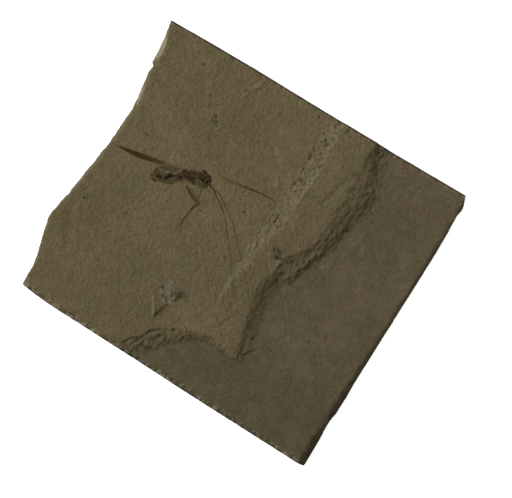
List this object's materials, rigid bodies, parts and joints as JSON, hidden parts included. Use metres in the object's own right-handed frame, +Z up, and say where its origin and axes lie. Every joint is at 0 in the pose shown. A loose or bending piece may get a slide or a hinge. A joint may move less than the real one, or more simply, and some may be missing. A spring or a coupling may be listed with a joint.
{
  "type": "fossil cockroach on limestone slab",
  "caption": "Thin sawn tile of olive-brown limestone with a crushed long-winged insect on its upper bed, crossed by a low ridge that breaks down to a lower bed.",
  "frame": {"origin": "middle of the underside, on the surface that the slab lies on", "axes": "+X to the right along the sawn long sides, +Y from the front sawn side to the back one, +Z up out of the face that carries the insect"},
  "size_m": [0.0977, 0.0879, 0.009],
  "materials": {
    "limestone": "dull, fine-grained, mottled olive brown with dark specks",
    "fossil_film": "dark brown mineral film, slightly glossy on the body",
    "fossil_wing": "faint brown mineral film, nearly faded into the stone"
  },
  "bodies": {
    "root": {"slab": "limestone", "insect": "fossil_film", "far_wing": "fossil_wing"}
  },
  "joints": []
}
